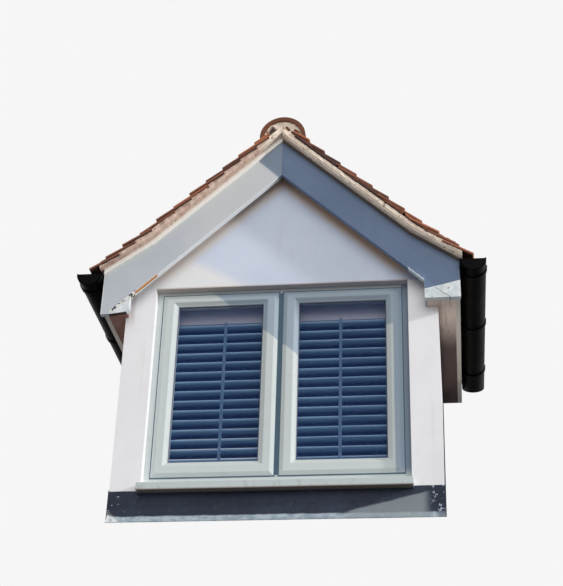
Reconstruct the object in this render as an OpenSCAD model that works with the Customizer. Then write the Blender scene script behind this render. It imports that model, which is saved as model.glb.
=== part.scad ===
// A gabled dormer window with its own small tiled roof, standing on the slope of a larger roof.
// Depths run back from the front face, heights run up from the foot of the corner posts.
// The origin lies on the underside of the front rail, where the dormer is seated on the slope.

/* [Walls] */
// Width of the corner posts on both sides of the window
post_w = 130; // [120:5:160]
// Thickness of the front wall
wall_t = 160; // [150:5:180]
// Thickness of the cheek walls
cheek_t = 100; // [90:5:120]

/* [Window] */
// Width of the opening in the front wall
win_w = 1120; // [1000:10:1240]
// Height of the head of the opening over the foot of the posts
head_z = 979; // [940:1:990]
// Height of the foot of the window frame over the foot of the posts
frame_z = 57; // [50:1:70]
// Depth of the front face of the frame behind the wall face
reveal = 40; // [30:1:45]
// Number of louvres in each shutter
louvre_n = 16; // [12:1:17]
// Tilt of the left louvres, down from front to back
left_tilt = 10; // [0:1:40]
// Tilt of the right louvres, down from front to back
right_tilt = 16; // [0:1:40]

/* [Roof] */
// Pitch of the main slope that the dormer stands on, and of the dormer's own roof
pitch = 43; // [42:0.5:45]
// Flatter pitch of the last stretch over the eaves
eaves_pitch = 35; // [33:1:38]
// Level length of the flatter stretch, up to the ends of the bargeboards
kick = 198; // [180:2:210]
// Height of the tops of the bargeboards at their outer ends
eaves_z = 1046; // [1036:2:1070]
// How far the bargeboards stand out past the walls
eaves_over = 98; // [90:2:120]
// Depth of the bargeboards, square to the roof
barge_d = 157; // [140:1:165]
// Gap between the wall face and the back of the bargeboards
verge_gap = 50; // [40:1:60]
// Number of tile courses on each side
course_n = 11; // [9:1:12]

/* [Eaves] */
// Height of the eaves boxes, from the soffit to the tops of the bargeboards
box_h = 204; // [196:2:220]
// Width of the gutters
gutter_w = 112; // [100:2:120]
// Number of brackets on each gutter
bracket_n = 3; // [2:1:3]

/* [Leadwork] */
// Thickness of the lead sheet
lead_t = 4; // [3:0.5:5]
// Length of the skirt that the front apron lays on the slope
skirt_l = 40; // [30:5:80]

/* [Hidden] */
$fn = 48;

win_x = win_w / 2;
half_w = win_x + post_w;
slope = tan(pitch);
eaves_slope = tan(eaves_pitch);
eaves_x = half_w + eaves_over;
bend_x = eaves_x - kick;
bend_z = eaves_z + kick * eaves_slope;
ridge_z = bend_z + bend_x * slope;
soffit_z = eaves_z - box_h;

// Well past the end of the object, where a piece is drawn long and then cut by the slope
far = 3000;
cut = 1;

// The seat: its origin lies this far behind the front face and below the foot of the posts
origin_y = 50;
origin_z = 70;
rail_t = 45;
rail_d = 100;
valley_t = 22;
valley_w = 240;
valley_lead_w = 100;
valley_lead_t = 2;
tile_plane = 27;
apron_plane = 12;

// Timber and boards
board_t = 25;
deck_t = 22;
rafter_d = 100;
rafter_w = 50;
rafter_step = 400;
rafter_n = 4;
fillet_d = 22;
fillet_t = 10;
fascia_t = 20;
fascia_in = 3;
soffit_t = 9;
ridge_board_t = 24;
ridge_board_d = 150;

// Heights square to the roof over the top of the deck
cloak_top = 5;
mortar_top = 20;
tile_low = 38;
tile_high = 48;
tile_start = 60;
tile_end = eaves_x + 64;
tile_end_low = 4;
tile_end_step = 10;
tile_end_high = 24;
mortar_end_high = 9;
cloak_end = eaves_x + 12;
verge_over = 50;
verge_out = verge_gap + board_t + verge_over;
ridge_r = 108;
ridge_t = 14;
ridge_in = 25;
ridge_c = ridge_z - 10;

// Height of the seat's plane at a depth y
function seat(y) = (y - origin_y) * slope - origin_z;

// A point of the roof's outline, d square over the deck: over the middle, at the bend and at x
function top_pt(d) = [0, ridge_z + d / cos(pitch)];
function bend_pt(d) =
    let (a = [sin(pitch), cos(pitch)], b = [sin(eaves_pitch), cos(eaves_pitch)])
    [bend_x, bend_z] + d * (a + b) / (1 + a * b);
function eaves_pt(d, x) = [x, bend_z - (x - bend_x) * eaves_slope + d / cos(eaves_pitch)];
function slope_pt(d, x) = [x, ridge_z - x * slope + d / cos(pitch)];

module placed() translate([0, -origin_y, origin_z]) children();

module mirrored(side) scale([side, 1, 1]) children();

// An outline in the plane of the front, drawn through from depth y0 to y1
module through(y0, y1) translate([0, y1, 0]) rotate([90, 0, 0]) linear_extrude(y1 - y0) children();

// An outline in the plane of a cheek, drawn through from x0 to x1
module across(x0, x1) translate([x0, 0, 0]) rotate([90, 0, 90]) linear_extrude(x1 - x0) children();

module box(x0, x1, y0, y1, z0, z1) translate([x0, y0, z0]) cube([x1 - x0, y1 - y0, z1 - z0]);

// All that lies over the seat by n, square to the slope
module over_seat(n) {
    up = n / cos(pitch);
    across(-far, far) polygon([
        [-far, seat(-far) + up], [far, seat(far) + up], [far, 2 * far], [-far, 2 * far]
    ]);
}

// A bar that lies on the slope between two heights over the seat, with plumb ends
module slope_bar(x0, x1, y0, y1, n0, n1) {
    a = n0 / cos(pitch);
    b = n1 / cos(pitch);
    across(x0, x1) polygon([
        [y0, seat(y0) + a], [y1, seat(y1) + a], [y1, seat(y1) + b], [y0, seat(y0) + b]
    ]);
}

// One side of the roof's outline between two heights over the deck, plumb cut at x1
module roof_band(d0, d1, x1) polygon([
    top_pt(d0), bend_pt(d0), eaves_pt(d0, x1), eaves_pt(d1, x1), bend_pt(d1), top_pt(d1)
]);

// Both sides of all that lies under a height over the deck
module under_roof(d) for (side = [-1, 1]) scale([side, 1])
    polygon([top_pt(d), bend_pt(d), eaves_pt(d, 2 * half_w), [2 * half_w, -far], [0, -far]]);

module front_rail() color("burlywood") placed()
    slope_bar(-half_w, half_w, 0, rail_d, 0, rail_t);

cheek_top = eaves_pt(-deck_t - rafter_d, half_w)[1];
cheek_end = (cheek_top + origin_z) / slope + origin_y;

module side_rails() color("burlywood") placed()
    for (side = [-1, 1]) mirrored(side)
        slope_bar(half_w - cheek_t, half_w, rail_d, cheek_end, 0, rail_t);

// The valley line in plan: how far back the roof's outline meets the seat
function valley_y(x) = origin_y + (ridge_z - x * slope + origin_z) / slope;

// A plan strip of a given width along both valley lines
module valley_strip(w) for (side = [-1, 1]) mirrored(side) linear_extrude(far) polygon([
    [0, valley_y(0)], [half_w, valley_y(half_w)], [half_w, valley_y(half_w) - w], [0, valley_y(0) - w]
]);

module valley_boards() color("burlywood") placed() intersection() {
    slope_bar(-half_w, half_w, cheek_end, far, 0, valley_t);
    valley_strip(valley_w);
}

module post(side) color("white") placed() intersection() {
    mirrored(side) box(win_x, half_w, 0, wall_t, -far, head_z);
    over_seat(rail_t);
}

module left_post() post(-1);
module right_post() post(1);

// The sill: its fall to the front, its nose with a drip underneath, and its horns
sill_t = 37;
sill_under = frame_z - sill_t;
sill_fall = 8;
sill_out = 50;
sill_horn = 8;
sill_nose = 34;
nose_z = sill_under - 16;
sill_low = sill_under - 12;
drip_in = 12;
drip_w = 8;
drip_d = 6;

module sill_wall() color("gainsboro") placed() intersection() {
    box(-win_x, win_x, 0, wall_t, -far, sill_under);
    over_seat(rail_t);
}

module gable_wall() color("white") placed() through(0, wall_t) intersection() {
    translate([-half_w, head_z]) square([2 * half_w, far]);
    under_roof(-deck_t);
}

module cheek(side) color("whitesmoke") placed() mirrored(side) intersection() {
    box(half_w - cheek_t, half_w, wall_t, far, -far, far);
    over_seat(rail_t);
    through(0, far) under_roof(-deck_t - rafter_d);
}

module left_cheek() cheek(-1);
module right_cheek() cheek(1);

// The window: a frame with two openings, and two sashes that lap over it by a lip
frame_d = 70;
frame_show = 29;
frame_show_top = 18;
frame_show_foot = 33;
stop_w = 12;
meeting_x = 11;
sash_w = win_x - frame_show - meeting_x;
sash_z0 = frame_z + frame_show_foot;
sash_z1 = head_z - frame_show_top;
sash_lip = 12;
lip_over = 15;
sash_d = 45;
stile_w = 68;
rail_top_w = 55;
rail_foot_w = 68;
sash_y = reveal - sash_lip;
sash_back = sash_y + sash_d;
clearance = 2;
glass_t = 14;
glass_in = 20;
glass_y = sash_y + glass_in;
glass_lap = 12;

// The space behind a sash's lip, grown on all sides
module sash_space(grow, y0, y1) box(
    meeting_x + lip_over - grow, meeting_x + sash_w - lip_over + grow, y0, y1,
    sash_z0 + lip_over - grow, sash_z1 - lip_over + grow);

module window_frame() color("silver") placed() difference() {
    box(-win_x, win_x, reveal, reveal + frame_d, frame_z, head_z);
    for (side = [-1, 1]) mirrored(side) {
        sash_space(clearance, reveal - cut, sash_back);
        sash_space(-stop_w, sash_back - cut, reveal + frame_d + cut);
    }
}

// The pane's place in a sash, grown by the lap that the sash holds
module pane(lap, y0, y1) box(
    meeting_x + stile_w - lap, meeting_x + sash_w - stile_w + lap, y0, y1,
    sash_z0 + rail_foot_w - lap, sash_z1 - rail_top_w + lap);

module sash(side) color("lightgray") placed() mirrored(side) difference() {
    union() {
        box(meeting_x, meeting_x + sash_w, sash_y, reveal, sash_z0, sash_z1);
        sash_space(0, reveal, sash_back);
    }
    pane(0, sash_y - cut, sash_back + cut);
    pane(glass_lap, glass_y, glass_y + glass_t);
}

module left_sash() sash(-1);
module right_sash() sash(1);

module left_glass() color("steelblue") placed() mirrored(-1) pane(glass_lap, glass_y, glass_y + glass_t);
module right_glass() color("steelblue") placed() pane(glass_lap, glass_y, glass_y + glass_t);

module window_sill() color("gainsboro") placed() {
    across(-win_x, win_x) polygon([
        [0, sill_under], [reveal + frame_d, sill_under], [reveal + frame_d, frame_z],
        [reveal, frame_z], [0, frame_z - sill_fall]
    ]);
    across(-win_x - sill_horn, win_x + sill_horn) polygon([
        [0, sill_low], [0, frame_z - sill_fall], [-sill_out, nose_z + sill_nose], [-sill_out, nose_z],
        [-sill_out + drip_in, nose_z], [-sill_out + drip_in, nose_z + drip_d],
        [-sill_out + drip_in + drip_w, nose_z + drip_d], [-sill_out + drip_in + drip_w, nose_z]
    ]);
}

board_lap = 25;
window_board_t = 18;

module window_board() color("white") placed()
    box(-win_x, win_x, reveal + frame_d, wall_t + board_lap, frame_z - window_board_t, frame_z);

// The shutters stand in the opening behind the window frame
shutter_y = reveal + frame_d + 14;
shutter_t = 28;
shutter_gap = 4;
shutter_x0 = shutter_gap;
shutter_x1 = win_x - shutter_gap;
shutter_z0 = frame_z + shutter_gap;
shutter_z1 = head_z - shutter_gap;
shutter_stile = 56;
shutter_top = 116;
shutter_foot = 59;
louvre_w = 60;
louvre_t = 11;
rod = 13;
rod_bite = 4;
rod_off = 22;
louvre_z0 = shutter_z0 + shutter_foot;
louvre_z1 = shutter_z1 - shutter_top;
louvre_step = (louvre_z1 - louvre_z0) / louvre_n;

module shutter(side) color("aliceblue") placed() mirrored(side) difference() {
    box(shutter_x0, shutter_x1, shutter_y, shutter_y + shutter_t, shutter_z0, shutter_z1);
    box(shutter_x0 + shutter_stile, shutter_x1 - shutter_stile, shutter_y - cut,
        shutter_y + shutter_t + cut, louvre_z0, louvre_z1);
}

module left_shutter() shutter(-1);
module right_shutter() shutter(1);

module louvres(side, tilt) color("lightsteelblue") placed() mirrored(side) {
    x0 = shutter_x0 + shutter_stile;
    x1 = shutter_x1 - shutter_stile;
    y = shutter_y + shutter_t / 2;
    for (i = [0 : louvre_n - 1])
        translate([x0, y, louvre_z0 + (i + 0.5) * louvre_step]) rotate([-tilt, 0, 0])
            across(0, x1 - x0) slat();
    x = (x0 + x1) / 2 - rod_off;
    front = y - (louvre_w / 2) * cos(tilt) + rod_bite;
    rise = (louvre_w / 2) * sin(tilt);
    box(x - rod / 2, x + rod / 2, front - rod, front,
        louvre_z0 + louvre_step / 2 + rise - rod, louvre_z1 - louvre_step / 2 + rise + rod);
}

// The section of a slat: flat in the middle and rounded to both edges
module slat() {
    w = louvre_w / 2;
    t = louvre_t / 2;
    polygon([
        [-w, 0], [-w + 1, t * 0.5], [-w + 6, t * 0.85], [0, t], [w - 6, t * 0.85], [w - 1, t * 0.5],
        [w, 0], [w - 1, -t * 0.5], [w - 6, -t * 0.85], [0, -t], [-w + 6, -t * 0.85], [-w + 1, -t * 0.5]
    ]);
}

module left_louvres() louvres(-1, left_tilt);
module right_louvres() louvres(1, right_tilt);

// The bargeboards, with a white fillet along the top edge; the left one runs down over its box
barge_back = -verge_gap;
barge_face = barge_back - board_t;
box_w = 154;
box_x = eaves_x - box_w;
box_top = eaves_z - 120;
box_top_in = soffit_z + 47;
barge_low = slope_pt(-barge_d, box_x)[1];
left_box_drop = 22;
left_low = soffit_z - left_box_drop;
left_foot_x = (top_pt(-barge_d)[1] - left_low) / slope;

module bargeboard(side, foot) color("lightsteelblue") placed() mirrored(side) {
    through(barge_face, barge_back) polygon(concat(
        [top_pt(0), bend_pt(0), eaves_pt(0, eaves_x)], foot, [top_pt(-barge_d)]
    ));
    through(barge_face - fillet_t, barge_face) roof_band(-fillet_d, 0, eaves_x);
}

module left_bargeboard() bargeboard(-1, [[eaves_x, left_low], [left_foot_x, left_low]]);
module right_bargeboard()
    bargeboard(1, [[eaves_x, box_top], [box_x, box_top_in], [box_x, barge_low]]);

// The box ends close the eaves; the inner corner of the left one is gone
box_side_t = 12;
left_box_rise = 10;
left_notch_w = 38;
left_notch_h = 48;

module right_box_end() color("white") placed() {
    through(barge_face, barge_back) polygon([
        [box_x, box_top_in], [eaves_x, box_top], [eaves_x, soffit_z], [box_x, soffit_z]
    ]);
    box(box_x, box_x + box_side_t, barge_back, 0, soffit_z, barge_low);
}

module left_box_end() color("white") placed() mirrored(-1) {
    through(barge_face, barge_back) polygon([
        [box_x, barge_low], [left_foot_x, left_low],
        [box_x + left_notch_w, left_low + left_box_rise], [box_x, left_low + left_notch_h]
    ]);
    box(box_x, box_x + box_side_t, barge_back, 0, left_low + left_notch_h, barge_low);
}

// The undercloak carries the mortar and the tiles out past the bargeboards
cloak_in = 10;
mortar_in = 13;

module undercloak(side) color("white") placed() mirrored(side)
    through(-verge_out + cloak_in, wall_t) roof_band(0, cloak_top, cloak_end);

module left_undercloak() undercloak(-1);
module right_undercloak() undercloak(1);

module verge_mortar(side) color("wheat") placed() mirrored(side)
    through(-verge_out + mortar_in, 0) polygon([
        slope_pt(cloak_top, tile_start), bend_pt(cloak_top), eaves_pt(cloak_top, cloak_end),
        eaves_pt(mortar_end_high, cloak_end), bend_pt(mortar_top), slope_pt(mortar_top, tile_start)
    ]);

module left_verge_mortar() verge_mortar(-1);
module right_verge_mortar() verge_mortar(1);

ridge_board_z = slope_pt(-deck_t, ridge_board_t / 2)[1];

module ridge_board() color("burlywood") placed() intersection() {
    for (span = [[barge_back, 0], [wall_t, far]])
        box(-ridge_board_t / 2, ridge_board_t / 2, span[0], span[1], ridge_board_z - ridge_board_d,
            ridge_board_z);
    over_seat(valley_t);
}

// The first pair stands outside the wall and carries the bargeboards
module rafter(y, w, x1) through(y, y + w) intersection() {
    roof_band(-deck_t - rafter_d, -deck_t, eaves_x - fascia_in - fascia_t);
    translate([ridge_board_t / 2, 0]) square([x1 - ridge_board_t / 2, far]);
}

module rafters() color("burlywood") placed() intersection() {
    for (side = [-1, 1]) mirrored(side) {
        rafter(barge_back, verge_gap, box_x);
        for (i = [1 : rafter_n]) rafter(i * rafter_step, rafter_w, eaves_x);
    }
    over_seat(valley_t);
}

module roof_deck(side) color("tan") placed() mirrored(side) intersection() {
    through(barge_back, far) roof_band(-deck_t, 0, eaves_x);
    over_seat(valley_t);
}

module left_roof_deck() roof_deck(-1);
module right_roof_deck() roof_deck(1);

// The tile courses, as steps that follow the roof's outline from the ridge down to the eaves
function tile_pt(t, high, end_high) =
    let (x = tile_start + t * (tile_end - tile_start), u = (x - bend_x) / (tile_end - bend_x))
    x < bend_x ? slope_pt(high, x) : eaves_pt(high * (1 - u) + end_high * u, x);

module tiles(side) color("sienna") placed() mirrored(side) intersection() {
    through(-verge_out, far) polygon(concat(
        [slope_pt(mortar_top, tile_start)],
        [for (i = [0 : course_n - 1]) each [
            tile_pt(i / course_n, tile_low, tile_end_step),
            tile_pt((i + 1) / course_n, tile_high, tile_end_high)
        ]],
        [eaves_pt(tile_end_low, tile_end), eaves_pt(mortar_end_high, cloak_end), bend_pt(mortar_top)]
    ));
    over_seat(tile_plane);
}

module left_tiles() tiles(-1);
module right_tiles() tiles(1);

module ridge_tiles() color("peru") placed() intersection() {
    through(-verge_out + ridge_in, far) difference() {
        translate([0, ridge_c]) circle(ridge_r);
        translate([0, ridge_c]) circle(ridge_r - ridge_t);
        under_roof(tile_high);
    }
    over_seat(tile_plane);
}

mortar_back = 20;
ridge_mortar_in = 8;

module ridge_mortar() color("wheat") placed()
    through(-verge_out + ridge_in + ridge_mortar_in, -mortar_back) difference() {
        translate([0, ridge_c]) circle(ridge_r - ridge_t);
        under_roof(cloak_top);
        intersection() {
            under_roof(tile_high);
            for (side = [-1, 1]) scale([side, 1]) translate([tile_start, 0]) square(far);
        }
    }

fascia_top = eaves_pt(-deck_t, eaves_x)[1];

module fascia(side) color("white") placed() mirrored(side) intersection() {
    box(eaves_x - fascia_in - fascia_t, eaves_x - fascia_in, barge_back, far, soffit_z, fascia_top);
    over_seat(tile_plane);
}

module left_fascia() fascia(-1);
module right_fascia() fascia(1);

module soffits() color("wheat") placed() for (side = [-1, 1]) mirrored(side) intersection() {
    union() {
        box(half_w, eaves_x - fascia_in - fascia_t, 0, far, soffit_z, soffit_z + soffit_t);
        box(box_x + box_side_t, eaves_x - fascia_in - fascia_t, barge_back, 0, soffit_z,
            soffit_z + soffit_t);
    }
    over_seat(tile_plane);
}

// The gutters are half round, closed at the front, and run back to the main slope
gutter_gap = 3;
gutter_t = 3;
gutter_top = eaves_z - 34;
gutter_drop = 4;
gutter_front = -verge_out + 15;
gutter_r = gutter_w / 2;
gutter_x = eaves_x + gutter_gap + gutter_r;
gutter_c = gutter_top - gutter_drop;

// The section of a gutter of radius r, open above when its sides are long
module trough(r, side_h) {
    translate([gutter_x, gutter_c]) intersection() {
        circle(r);
        translate([-r, -r]) square([2 * r, r]);
    }
    translate([gutter_x - r, gutter_c]) square([2 * r, side_h]);
}

module gutter(side) color("black") placed() mirrored(side) intersection() {
    difference() {
        through(gutter_front, far) trough(gutter_r, gutter_drop);
        through(gutter_front + gutter_t, far + cut) trough(gutter_r - gutter_t, far);
    }
    over_seat(tile_plane);
}

module left_gutter() gutter(-1);
module right_gutter() gutter(1);

bracket_w = 25;
bracket_t = 4;
bracket_y0 = barge_back + 5;
bracket_step = 480;
bracket_foot = 20;

module bracket(y) through(y, y + bracket_w) difference() {
    union() {
        trough(gutter_r + bracket_t, gutter_drop);
        translate([eaves_x - fascia_in, gutter_c - gutter_r - bracket_foot])
            square([fascia_in + gutter_gap, gutter_r + bracket_foot + gutter_drop]);
    }
    trough(gutter_r, far);
    square([eaves_x - fascia_in, far]);
}

module gutter_brackets() color("dimgray") placed() for (side = [-1, 1]) mirrored(side)
    for (i = [0 : bracket_n - 1]) bracket(bracket_y0 + i * bracket_step);

// The lead: an apron in front, flashings along the cheeks and the linings of the valleys
flash_h = 100;

module lead_apron() color("slategray") placed() {
    n0 = apron_plane / cos(pitch);
    n1 = (apron_plane + lead_t) / cos(pitch);
    low_y = -skirt_l * cos(pitch);
    across(-half_w, half_w) polygon([
        [0, seat(0) + n0], [0, sill_low], [-lead_t, sill_low], [-lead_t, seat(-lead_t) + n1],
        [low_y, seat(low_y) + n1], [low_y, seat(low_y) + n0]
    ]);
}

module cheek_flashings() color("slategray") placed() for (side = [-1, 1]) mirrored(side) intersection() {
    slope_bar(half_w, half_w + lead_t, 0, far, 0, flash_h);
    box(half_w, half_w + lead_t, 0, far, -far, soffit_z);
}

module valley_leads() color("slategray") placed() intersection() {
    slope_bar(-half_w, half_w, 0, far, valley_t, valley_t + valley_lead_t);
    valley_strip(valley_lead_w);
}

front_rail();
side_rails();
valley_boards();
left_post();
right_post();
sill_wall();
gable_wall();
left_cheek();
right_cheek();
window_frame();
left_sash();
right_sash();
left_glass();
right_glass();
window_sill();
window_board();
left_shutter();
right_shutter();
left_louvres();
right_louvres();
left_bargeboard();
right_bargeboard();
left_box_end();
right_box_end();
left_undercloak();
right_undercloak();
ridge_board();
rafters();
left_roof_deck();
right_roof_deck();
left_verge_mortar();
right_verge_mortar();
left_tiles();
right_tiles();
ridge_tiles();
ridge_mortar();
left_fascia();
right_fascia();
soffits();
left_gutter();
right_gutter();
gutter_brackets();
lead_apron();
cheek_flashings();
valley_leads();
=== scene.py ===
import math
import random

import bmesh
import bpy
from mathutils import Matrix, Vector, noise


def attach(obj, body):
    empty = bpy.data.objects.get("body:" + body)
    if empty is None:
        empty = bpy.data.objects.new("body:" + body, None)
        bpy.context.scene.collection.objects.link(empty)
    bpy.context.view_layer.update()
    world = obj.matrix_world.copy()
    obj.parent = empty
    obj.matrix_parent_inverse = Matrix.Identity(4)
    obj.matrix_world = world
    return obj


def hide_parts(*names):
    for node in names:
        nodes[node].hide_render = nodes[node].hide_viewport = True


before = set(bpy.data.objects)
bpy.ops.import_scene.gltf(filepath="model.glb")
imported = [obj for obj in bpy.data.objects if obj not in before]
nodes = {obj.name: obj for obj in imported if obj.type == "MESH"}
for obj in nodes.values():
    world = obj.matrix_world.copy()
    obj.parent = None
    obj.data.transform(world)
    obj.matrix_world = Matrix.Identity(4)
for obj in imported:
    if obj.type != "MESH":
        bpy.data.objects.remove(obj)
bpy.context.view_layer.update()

# Seat and roof timbers.
# The trimmers of the seat, the valley boards, rafters and ridge board are sawn softwood, left bare
# and gone brown with age; they are nailed together and show only from the sides and the back.

# Sizes are in millimetres from the wall face and the foot of the posts, which lie here in the frame.
wall_at, foot_at = -0.05, 0.07
to_place = Matrix.Translation((0, wall_at, foot_at)) @ Matrix.Scale(0.001, 4)


class Tone:
    """A value or colour that changes over a surface, so that a finish can be written as sums."""

    def __init__(self, finish, socket):
        self.finish = finish
        self.socket = socket

    def __add__(self, other):
        return self.finish.sum("ADD", self, other)

    def __radd__(self, other):
        return self.finish.sum("ADD", other, self)

    def __sub__(self, other):
        return self.finish.sum("SUBTRACT", self, other)

    def __rsub__(self, other):
        return self.finish.sum("SUBTRACT", other, self)

    def __mul__(self, other):
        return self.finish.sum("MULTIPLY", self, other)

    def __rmul__(self, other):
        return self.finish.sum("MULTIPLY", other, self)


class Finish:
    """The finish of a piece, made of nodes that read the place on the object."""

    def __init__(self, name, world=None):
        owner = world or bpy.data.materials.new(name)
        owner.use_nodes = True
        self.material = owner
        self.tree = owner.node_tree
        self.shader = self.tree.nodes["Background" if world else "Principled BSDF"]
        self.place = self.node("ShaderNodeTexCoord", out="Generated" if world else "Object")

    def node(self, kind, settings=None, sockets=None, out=0):
        made = self.tree.nodes.new(kind)
        for name, value in (settings or {}).items():
            setattr(made, name, value)
        self.feed(made, sockets or {})
        return Tone(self, made.outputs[out])

    def feed(self, made, sockets):
        for name, value in sockets.items():
            if isinstance(value, Tone):
                self.tree.links.new(value.socket, made.inputs[name])
            else:
                made.inputs[name].default_value = value

    def sum(self, operation, first, second=0.0):
        return self.node("ShaderNodeMath", {"operation": operation}, {0: first, 1: second})

    def axis(self, name):
        """Millimetres along an axis, from the middle, the wall face or the foot of the posts."""
        along = self.node("ShaderNodeSeparateXYZ", None, {"Vector": self.place}, name)
        return (along - {"X": 0, "Y": wall_at, "Z": foot_at}[name]) * 1000

    def cloud(self, scale, detail=3.0, stretch=(1, 1, 1), turn=(0, 0, 0), shift=(0, 0, 0)):
        """Soft blotches, about that many to a metre, drawn out along an axis with a small stretch."""
        place = self.node("ShaderNodeMapping", None, {
            "Vector": self.place, "Location": shift, "Rotation": turn, "Scale": stretch})
        return self.node("ShaderNodeTexNoise", None, {
            "Vector": place, "Scale": scale, "Detail": detail, "Roughness": 0.6})

    def ramp(self, value, low, high):
        """Nothing below low and all above high, smooth between."""
        return self.node("ShaderNodeMapRange", {"interpolation_type": "SMOOTHSTEP"}, {
            "Value": value, "From Min": low, "From Max": high})

    def mix(self, share, one, two):
        return self.node("ShaderNodeMix", {"data_type": "RGBA"}, {0: share, 6: one, 7: two}, 2)

    def cover(self, tone, roughness, gloss=0.5):
        """Gives the surface its colour, its roughness and how strongly it shines."""
        self.feed(self.shader, {
            "Base Color": tone, "Roughness": roughness, "Specular IOR Level": gloss})

    def relief(self, height, depth):
        """The height, from 0 to 1, as a relief of that depth in metres."""
        bump = self.node("ShaderNodeBump", None, {"Height": height, "Distance": depth})
        self.feed(self.shader, {"Normal": bump})

    def marked(self, name):
        """The value that the faces or points carry under that name."""
        return self.node("ShaderNodeAttribute", {"attribute_name": name}, None, "Fac")

    def wear(self, *names):
        """Puts the finish on those solids of the object."""
        for name in names:
            mesh = nodes[name].data
            mesh.materials.clear()
            mesh.materials.append(self.material)


def shade(red, green, blue):
    """A colour as it looks on a screen, from 0 to 255, as the linear values that a socket takes."""
    return [(v / 255) ** 2.2 for v in (red, green, blue)] + [1.0]


def sawn_timber(name, turn):
    """Sawn softwood whose grain runs along X once the pattern is turned."""
    wood = Finish(name)
    grain = wood.cloud(40, 6, (0.05, 1, 1), turn)
    fine = wood.cloud(260, 3, (0.03, 1, 1), turn)
    stain = wood.cloud(3, 4)
    knots = wood.ramp(wood.cloud(9, 2, (0.4, 1, 1), turn, (3, 1, 2)), 0.72, 0.78)
    pale = wood.ramp(grain * 0.7 + fine * 0.3, 0.3, 0.7)
    tone = wood.mix(pale, shade(88, 62, 42), shade(158, 122, 86))
    tone = wood.mix(wood.ramp(stain, 0.45, 0.75) * 0.6, tone, shade(70, 56, 46))
    tone = wood.mix(knots * 0.8, tone, shade(46, 30, 20))
    wood.cover(tone, 0.72 + grain * 0.2)
    wood.relief(grain * 0.6 + fine * 0.4 - knots * 0.3, 0.0012)
    return wood


pitch = math.radians(43)
sawn_timber("sawn_cross_timber", (0, 0, 0)).wear("front_rail")
sawn_timber("sawn_seat_timber", (0, 0, math.radians(90))).wear("side_rails", "ridge_board")
sawn_timber("sawn_valley_timber", (0, 0, math.radians(55))).wear("valley_boards")
sawn_timber("sawn_rafter_timber", (0, pitch, 0)).wear("rafters")

# Roof decks.
# Sawn boards 150 mm wide, nailed across the rafters with narrow gaps, carry the tiles; their ends
# and their undersides show from the back and through the open seat.

board_rise = 102


def roof_boards():
    boards = Finish("sawn_deck_boards")
    row = boards.axis("Z") * (1 / board_rise)
    number = boards.sum("FLOOR", row)
    across = boards.sum("FRACT", row)
    joint = 1 - boards.ramp(boards.sum("PINGPONG", across, 0.5), 0.0, 0.05)
    each = boards.node("ShaderNodeTexWhiteNoise", {"noise_dimensions": "1D"}, {"W": number})
    grain = boards.cloud(30, 6, (1, 0.06, 1))
    worn = boards.ramp(grain * 0.7 + each * 0.3, 0.3, 0.75)
    tone = boards.mix(worn, shade(84, 64, 48), shade(150, 120, 90))
    tone = boards.mix(joint, tone, shade(28, 20, 15))
    boards.cover(tone, 0.75 + grain * 0.15)
    boards.relief(grain * 0.3 - joint, 0.003)
    return boards


roof_boards().wear("left_roof_deck", "right_roof_deck")

# Walls.
# Smooth boards on studs, filled at the joints and rolled with white masonry paint, make the corner
# posts, the gable and the cheeks; rain has left faint runs, and brown stains under the eaves.

window_half, head_z = 560, 979
ridge_z = 1734.8
slope = math.tan(pitch)
board_drop = 205


def wall_paint(name, pale, dull, corner):
    """White paint with stains; under the bargeboards it is painted warm as light bounced from the tiles,
    under the window head tan as shade, and corner whitens the low left of the gable as painted sunlight.
    """
    paint = Finish(name)
    height = paint.axis("Z")
    sideways = paint.sum("ABSOLUTE", paint.axis("X"))
    blotch = paint.cloud(2.2, 5)
    runs = paint.cloud(26, 4, (1, 1, 0.06))
    roller = paint.cloud(420, 2)
    grime = paint.ramp(paint.cloud(14, 6), 0.5, 0.8)
    foot = 1 - paint.ramp(height, -80, 90)
    eaves = paint.ramp(height, 760, 850) * paint.ramp(sideways, 630, 690)
    # Painted shade: a tan strip under the window head, as its underside looks in shade.
    head = 1 - paint.ramp(paint.sum("ABSOLUTE", height - head_z), 2, 9)
    head = head * (1 - paint.ramp(sideways, window_half - 2, window_half + 6))
    tone = paint.mix(paint.ramp(blotch, 0.35, 0.7), pale, dull)
    # Painted light: below a line along the edge of the shadow, the low left of the gable is painted
    # whiter, as sunlit; corner sets how much.
    painted_lit_corner = 1 - paint.ramp(height + paint.axis("X") * 0.53 + (blotch - 0.5) * 30, 864, 940)
    tone = paint.mix(painted_lit_corner * corner, tone, shade(246, 245, 243))
    tone = paint.mix(paint.ramp(runs, 0.56, 0.8) * 0.2, tone, shade(196, 186, 178))
    tone = paint.mix(grime * (foot * 0.4 + 0.05), tone, shade(150, 142, 132))
    tone = paint.mix(eaves * paint.ramp(runs + blotch * 0.5, 0.62, 0.95) * 0.7, tone, shade(146, 116, 96))
    tone = paint.mix(head * 0.55, tone, shade(176, 150, 132))
    # Painted light: a band under the bargeboards is painted pale and warm, cooler on the left, as light
    # bounced up from the tiles into their shade.
    below = ridge_z - board_drop - sideways * slope - height + (blotch - 0.5) * 60
    under_board = 1 - paint.ramp(below, 0, 60)
    painted_warm_bounce = paint.mix(paint.ramp(paint.axis("X"), -120, 20), shade(255, 246, 236), shade(255, 218, 186))
    tone = paint.mix(under_board * paint.ramp(height, 990, 1060) * 0.85, tone, painted_warm_bounce)
    paint.cover(tone, 0.55 + blotch * 0.2)
    paint.relief(roller * 0.4 + blotch * 0.6, 0.0008)
    return paint


wall_paint("white_wall_paint", shade(250, 249, 251), shade(243, 241, 244), 0.0).wear(
    "left_post", "right_post", "sill_wall", "left_cheek", "right_cheek")
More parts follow.
